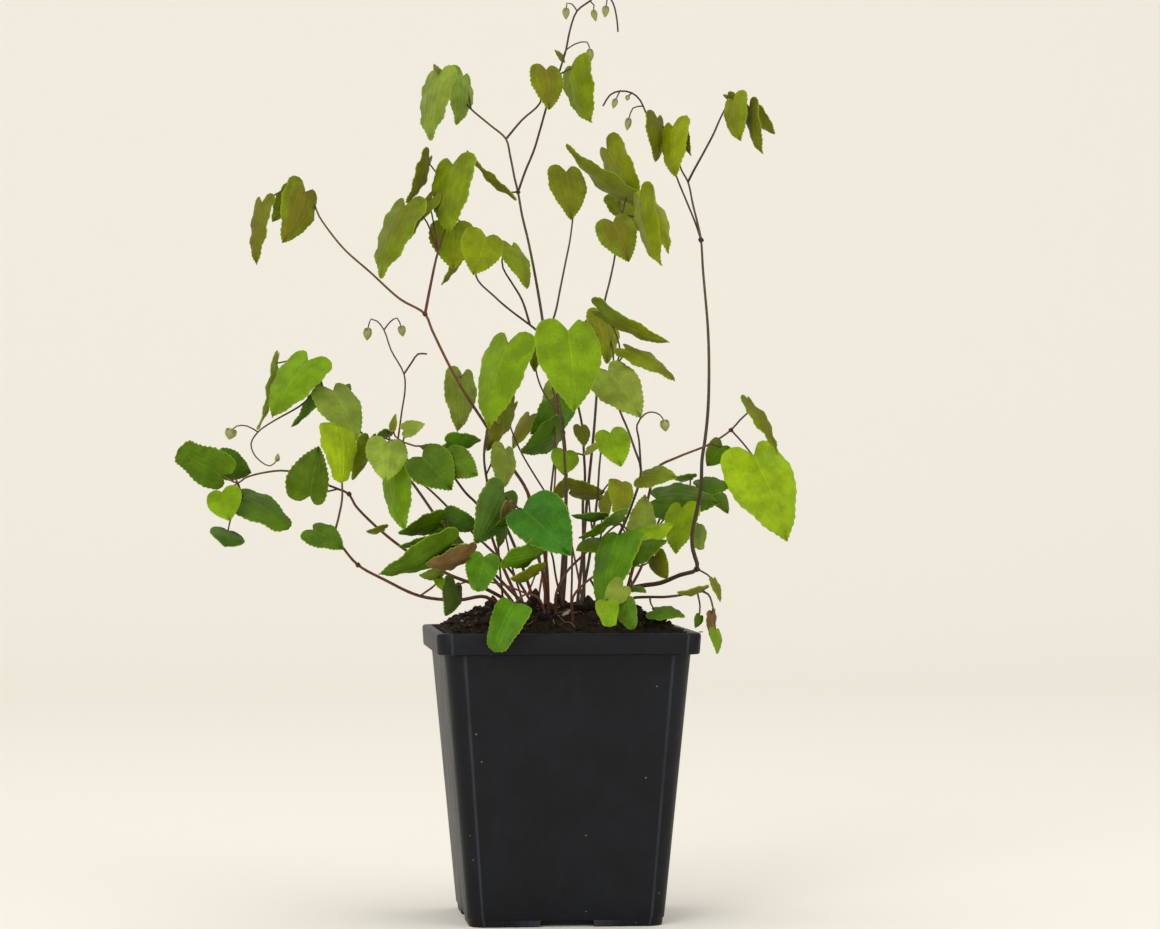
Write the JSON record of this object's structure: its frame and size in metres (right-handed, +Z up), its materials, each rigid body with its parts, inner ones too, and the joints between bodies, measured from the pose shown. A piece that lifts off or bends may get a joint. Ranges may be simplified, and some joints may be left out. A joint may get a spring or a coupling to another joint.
{
  "type": "potted barrenwort",
  "caption": "Barrenwort plant with thin branching stems and heart-shaped leaves, growing in a filled square black nursery pot.",
  "frame": {"origin": "centre of the pot's underside, on the surface the pot stands on", "axes": "+Z up along the pot's axis, -Y out of the front wall of the pot, +X to the right seen from the front"},
  "size_m": [0.2134, 0.1537, 0.328],
  "materials": {
    "pot_plastic": "satin",
    "soil": "rough",
    "foliage": "satin"
  },
  "bodies": {
    "root": {"pot": "pot_plastic", "soil": "soil", "stem_centre_tall": "foliage", "stem_left_long": "foliage", "stem_right_tall": "foliage", "stem_right_upper": "foliage", "stem_right_middle": "foliage", "stem_centre_front": "foliage", "stem_left_front": "foliage", "stem_centre_inner": "foliage", "stem_back_low": "foliage", "stem_flower_stalk": "foliage", "stem_far_left_high": "foliage", "stem_far_left_middle": "foliage", "stem_far_left_low": "foliage", "stem_left_middle": "foliage", "stem_front_centre": "foliage", "stem_front_left": "foliage", "stem_front_low": "foliage", "stem_far_right": "foliage", "stem_right_back": "foliage", "stem_right_trailing": "foliage", "stem_right_front": "foliage", "stem_right_low": "foliage", "stem_right_front_low": "foliage"}
  },
  "joints": []
}
